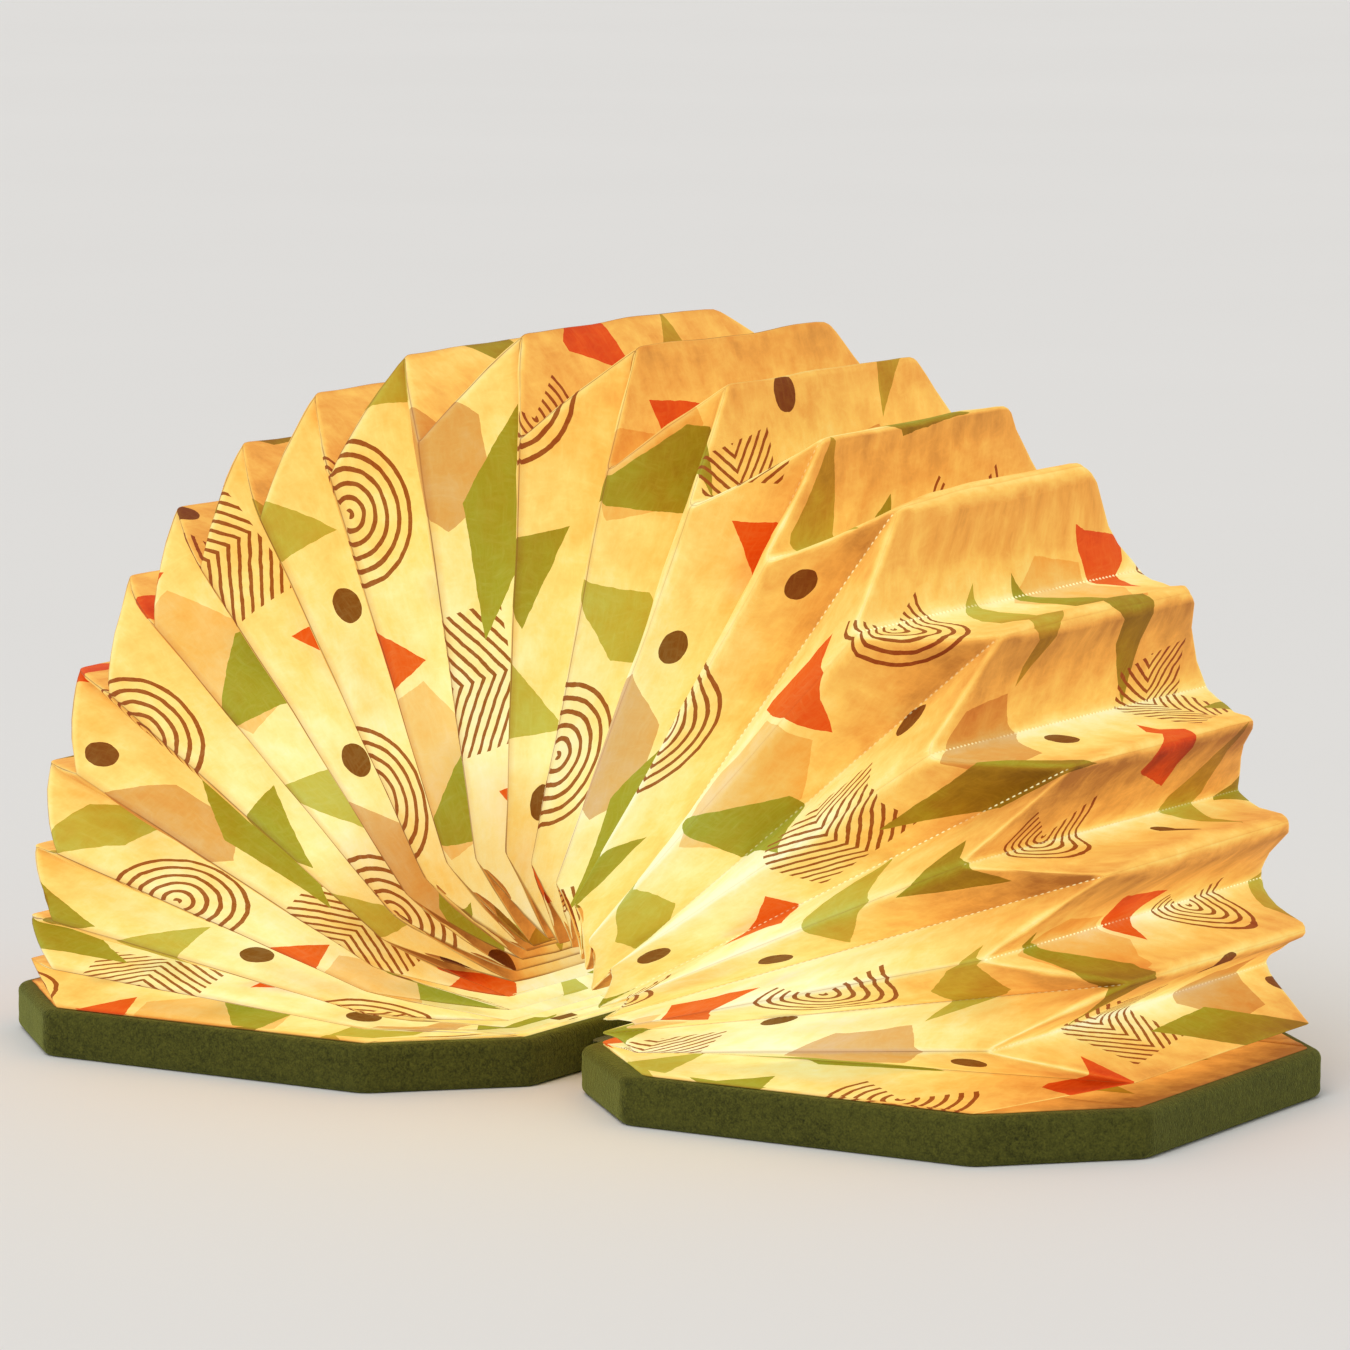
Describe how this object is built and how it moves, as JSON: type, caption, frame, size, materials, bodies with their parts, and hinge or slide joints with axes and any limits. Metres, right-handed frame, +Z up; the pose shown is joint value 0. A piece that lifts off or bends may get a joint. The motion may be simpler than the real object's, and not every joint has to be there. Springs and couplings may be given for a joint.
{
  "type": "folding book lamp",
  "caption": "Book-shaped lamp: padded cut-corner covers on a cloth spine fan out a glowing, printed pleated paper shade; it folds shut like a book.",
  "frame": {"origin": "on the table, under the middle of the spine, midway between the two covers lying open", "axes": "+X from the left cover to the right cover, +Y along the spine from the front edge to the rear edge, +Z up"},
  "size_m": [0.438, 0.2069, 0.2502],
  "materials": {
    "velvet": "short-pile olive velvet",
    "lining": "woven cloth",
    "paper": "translucent fibre paper, printed",
    "tray_plastic": "moulded",
    "panel_plastic": "matt white, reflecting",
    "steel": "plated",
    "magnet": "nickel plated",
    "circuit_board": "white solder resist",
    "control_board": "green solder resist",
    "light_chip": "phosphor",
    "diffuser": "milky",
    "ribbon": "polyimide film",
    "battery_wrap": "foil pouch",
    "foam": "closed-cell foam",
    "switch_plastic": "moulded",
    "wire": "silicone insulation",
    "button": "moulded, satin"
  },
  "bodies": {
    "cover_left": {"cover_velvet_left": "velvet", "cover_tray_left": "tray_plastic", "inner_panel_left": "panel_plastic", "panel_screws_left": "steel", "magnets_left": "magnet", "light_board_left": "circuit_board", "lights_left": "light_chip", "diffuser_left": "diffuser", "ribbon_left": "ribbon", "end_leaf_left": "paper", "battery": "battery_wrap", "battery_pad": "foam", "control_board": "control_board", "charging_socket": "steel", "switch_body": "switch_plastic", "battery_leads": "wire", "light_leads": "wire"},
    "spine": {"spine_strip": "velvet", "spine_lining": "lining", "ribbon_spine": "ribbon"},
    "cover_right": {"cover_velvet_right": "velvet", "cover_tray_right": "tray_plastic", "inner_panel_right": "panel_plastic", "panel_screws_right": "steel", "magnets_right": "magnet", "light_board_right": "circuit_board", "lights_right": "light_chip", "diffuser_right": "diffuser", "ribbon_right": "ribbon", "end_leaf_right": "paper"},
    "button": {"button_cap": "button", "switch_plunger": "switch_plastic"},
    "pleat_01": {"pleat_01": "paper"},
    "pleat_02": {"pleat_02": "paper"},
    "pleat_03": {"pleat_03": "paper"},
    "pleat_04": {"pleat_04": "paper"},
    "pleat_05": {"pleat_05": "paper"},
    "pleat_06": {"pleat_06": "paper"},
    "pleat_07": {"pleat_07": "paper"},
    "pleat_08": {"pleat_08": "paper"},
    "pleat_09": {"pleat_09": "paper"},
    "pleat_10": {"pleat_10": "paper"},
    "pleat_11": {"pleat_11": "paper"},
    "pleat_12": {"pleat_12": "paper"},
    "pleat_13": {"pleat_13": "paper"},
    "pleat_14": {"pleat_14": "paper"},
    "pleat_15": {"pleat_15": "paper"},
    "pleat_16": {"pleat_16": "paper"},
    "pleat_17": {"pleat_17": "paper"},
    "pleat_18": {"pleat_18": "paper"},
    "pleat_19": {"pleat_19": "paper"},
    "pleat_20": {"pleat_20": "paper"}
  },
  "joints": [
    {"name": "cover_right_hinge", "type": "hinge", "parent": "spine", "child": "cover_right", "pos_m": [0.009, 0, 0.0107], "axis": [0, 1, 0], "range_deg": [-90, 0]},
    {"name": "cover_left_hinge", "type": "hinge", "parent": "cover_left", "child": "spine", "pos_m": [-0.009, 0, 0.0107], "axis": [0, 1, 0], "range_deg": [-90, 0]},
    {"name": "pleat_01_fold", "type": "hinge", "parent": "cover_left", "child": "pleat_01", "pos_m": [0.0085, 0, 0.0282], "axis": [0, 1, 0], "range_deg": [-4, 0], "deforming": ["pleat_01"]},
    {"name": "pleat_02_fold", "type": "hinge", "parent": "cover_left", "child": "pleat_02", "pos_m": [0.0085, 0, 0.0282], "axis": [0, 1, 0], "range_deg": [-9, 0], "deforming": ["pleat_02"]},
    {"name": "pleat_03_fold", "type": "hinge", "parent": "cover_left", "child": "pleat_03", "pos_m": [0.0085, 0, 0.0282], "axis": [0, 1, 0], "range_deg": [-16, 0], "deforming": ["pleat_03"]},
    {"name": "pleat_04_fold", "type": "hinge", "parent": "cover_left", "child": "pleat_04", "pos_m": [0.0085, 0, 0.0282], "axis": [0, 1, 0], "range_deg": [-24.5, 0], "deforming": ["pleat_04"]},
    {"name": "pleat_05_fold", "type": "hinge", "parent": "cover_left", "child": "pleat_05", "pos_m": [0.0085, 0, 0.0282], "axis": [0, 1, 0], "range_deg": [-34, 0], "deforming": ["pleat_05"]},
    {"name": "pleat_06_fold", "type": "hinge", "parent": "cover_left", "child": "pleat_06", "pos_m": [0.0085, 0, 0.0282], "axis": [0, 1, 0], "range_deg": [-43, 0], "deforming": ["pleat_06"]},
    {"name": "pleat_07_fold", "type": "hinge", "parent": "cover_left", "child": "pleat_07", "pos_m": [0.0085, 0, 0.0282], "axis": [0, 1, 0], "range_deg": [-51.5, 0], "deforming": ["pleat_07"]},
    {"name": "pleat_08_fold", "type": "hinge", "parent": "cover_left", "child": "pleat_08", "pos_m": [0.0085, 0, 0.0282], "axis": [0, 1, 0], "range_deg": [-60.5, 0], "deforming": ["pleat_08"]},
    {"name": "pleat_09_fold", "type": "hinge", "parent": "cover_left", "child": "pleat_09", "pos_m": [0.0085, 0, 0.0282], "axis": [0, 1, 0], "range_deg": [-70, 0], "deforming": ["pleat_09"]},
    {"name": "pleat_10_fold", "type": "hinge", "parent": "cover_left", "child": "pleat_10", "pos_m": [0.0085, 0, 0.0282], "axis": [0, 1, 0], "range_deg": [-81, 0], "deforming": ["pleat_10"]},
    {"name": "pleat_11_fold", "type": "hinge", "parent": "cover_left", "child": "pleat_11", "pos_m": [0.0085, 0, 0.0282], "axis": [0, 1, 0], "range_deg": [-92.5, 0], "deforming": ["pleat_11"]},
    {"name": "pleat_12_fold", "type": "hinge", "parent": "cover_right", "child": "pleat_12", "pos_m": [-0.0085, 0, 0.0282], "axis": [0, 1, 0], "range_deg": [0, 87.5], "deforming": ["pleat_12"]},
    {"name": "pleat_13_fold", "type": "hinge", "parent": "cover_right", "child": "pleat_13", "pos_m": [-0.0085, 0, 0.0282], "axis": [0, 1, 0], "range_deg": [0, 77.5], "deforming": ["pleat_13"]},
    {"name": "pleat_14_fold", "type": "hinge", "parent": "cover_right", "child": "pleat_14", "pos_m": [-0.0085, 0, 0.0282], "axis": [0, 1, 0], "range_deg": [0, 68], "deforming": ["pleat_14"]},
    {"name": "pleat_15_fold", "type": "hinge", "parent": "cover_right", "child": "pleat_15", "pos_m": [-0.0085, 0, 0.0282], "axis": [0, 1, 0], "range_deg": [0, 58.5], "deforming": ["pleat_15"]},
    {"name": "pleat_16_fold", "type": "hinge", "parent": "cover_right", "child": "pleat_16", "pos_m": [-0.0085, 0, 0.0282], "axis": [0, 1, 0], "range_deg": [0, 47], "deforming": ["pleat_16"]},
    {"name": "pleat_17_fold", "type": "hinge", "parent": "cover_right", "child": "pleat_17", "pos_m": [-0.0085, 0, 0.0282], "axis": [0, 1, 0], "range_deg": [0, 34], "deforming": ["pleat_17"]},
    {"name": "pleat_18_fold", "type": "hinge", "parent": "cover_right", "child": "pleat_18", "pos_m": [-0.0085, 0, 0.0282], "axis": [0, 1, 0], "range_deg": [0, 23.5], "deforming": ["pleat_18"]},
    {"name": "pleat_19_fold", "type": "hinge", "parent": "cover_right", "child": "pleat_19", "pos_m": [-0.0085, 0, 0.0282], "axis": [0, 1, 0], "range_deg": [0, 14.5], "deforming": ["pleat_19"]},
    {"name": "pleat_20_fold", "type": "hinge", "parent": "cover_right", "child": "pleat_20", "pos_m": [-0.0085, 0, 0.0282], "axis": [0, 1, 0], "range_deg": [0, 6], "deforming": ["pleat_20"]},
    {"name": "button_press", "type": "slide", "parent": "cover_left", "child": "button", "axis": [0, -1, 0], "range_m": [0, 0.0005], "stiffness_N_per_m": 400, "springref_m": -0.001}
  ],
  "couplings": [
    {"joint": "cover_left_hinge", "follows": "cover_right_hinge", "ratio": 1},
    {"joint": "pleat_01_fold", "follows": "cover_right_hinge", "ratio": 0.04444},
    {"joint": "pleat_02_fold", "follows": "cover_right_hinge", "ratio": 0.1},
    {"joint": "pleat_03_fold", "follows": "cover_right_hinge", "ratio": 0.17778},
    {"joint": "pleat_04_fold", "follows": "cover_right_hinge", "ratio": 0.27222},
    {"joint": "pleat_05_fold", "follows": "cover_right_hinge", "ratio": 0.37778},
    {"joint": "pleat_06_fold", "follows": "cover_right_hinge", "ratio": 0.47778},
    {"joint": "pleat_07_fold", "follows": "cover_right_hinge", "ratio": 0.57222},
    {"joint": "pleat_08_fold", "follows": "cover_right_hinge", "ratio": 0.67222},
    {"joint": "pleat_09_fold", "follows": "cover_right_hinge", "ratio": 0.77778},
    {"joint": "pleat_10_fold", "follows": "cover_right_hinge", "ratio": 0.9},
    {"joint": "pleat_11_fold", "follows": "cover_right_hinge", "ratio": 1.0278},
    {"joint": "pleat_12_fold", "follows": "cover_right_hinge", "ratio": -0.97222},
    {"joint": "pleat_13_fold", "follows": "cover_right_hinge", "ratio": -0.86111},
    {"joint": "pleat_14_fold", "follows": "cover_right_hinge", "ratio": -0.75556},
    {"joint": "pleat_15_fold", "follows": "cover_right_hinge", "ratio": -0.65},
    {"joint": "pleat_16_fold", "follows": "cover_right_hinge", "ratio": -0.52222},
    {"joint": "pleat_17_fold", "follows": "cover_right_hinge", "ratio": -0.37778},
    {"joint": "pleat_18_fold", "follows": "cover_right_hinge", "ratio": -0.26111},
    {"joint": "pleat_19_fold", "follows": "cover_right_hinge", "ratio": -0.16111},
    {"joint": "pleat_20_fold", "follows": "cover_right_hinge", "ratio": -0.06667}
  ]
}
